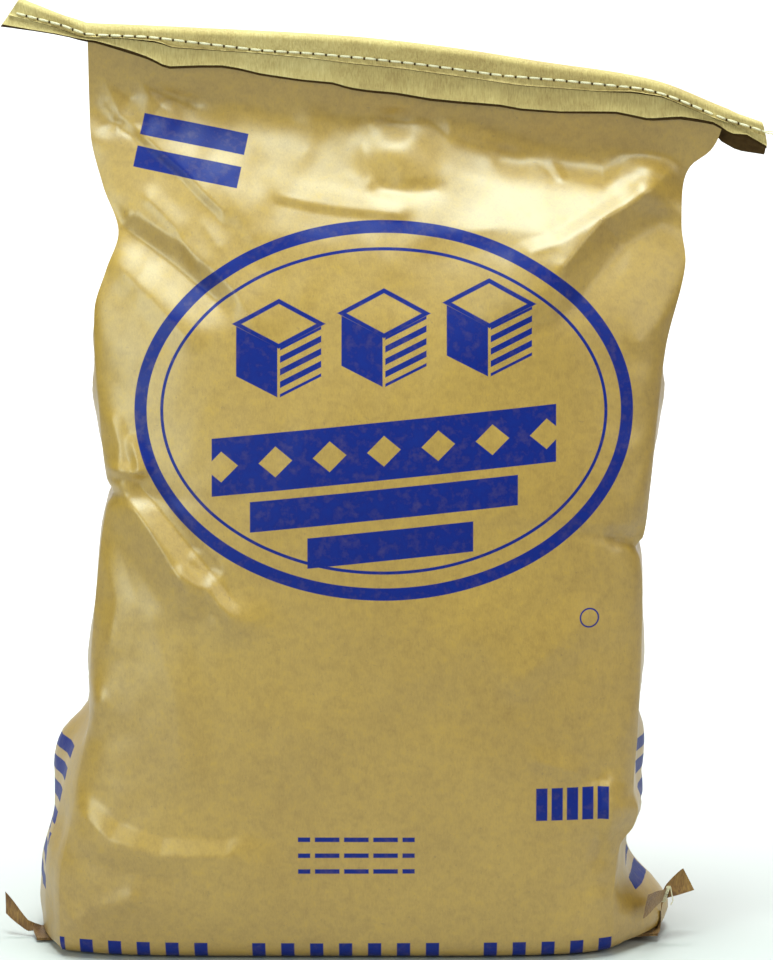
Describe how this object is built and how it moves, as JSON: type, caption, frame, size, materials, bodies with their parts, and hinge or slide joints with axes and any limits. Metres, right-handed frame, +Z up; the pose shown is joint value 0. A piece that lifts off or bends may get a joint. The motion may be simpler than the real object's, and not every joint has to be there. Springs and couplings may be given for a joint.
{
  "type": "paper sack of granulated sugar",
  "caption": "Filled gusseted kraft paper sack of granulated sugar, standing on its base, its mouth and base closed by folded crepe tape and chain stitches.",
  "frame": {"origin": "middle of the base, on the floor", "axes": "+Z up towards the sewn mouth, -Y towards the front face, +X along the mouth to the viewer's right"},
  "size_m": [0.4914, 0.1959, 0.6104],
  "materials": {
    "kraft_paper": "smooth kraft with a faint sheen and a dark blue print",
    "crepe_tape": "matte crepe with fine crosswise wrinkles",
    "thread": "twisted cotton"
  },
  "bodies": {
    "root": {"sack": "kraft_paper", "mouth_tape": "crepe_tape", "mouth_binding": "crepe_tape", "mouth_stitches_front": "thread", "mouth_stitches_back": "thread", "base_tape": "crepe_tape", "base_binding": "crepe_tape", "base_stitches": "thread"}
  },
  "joints": []
}
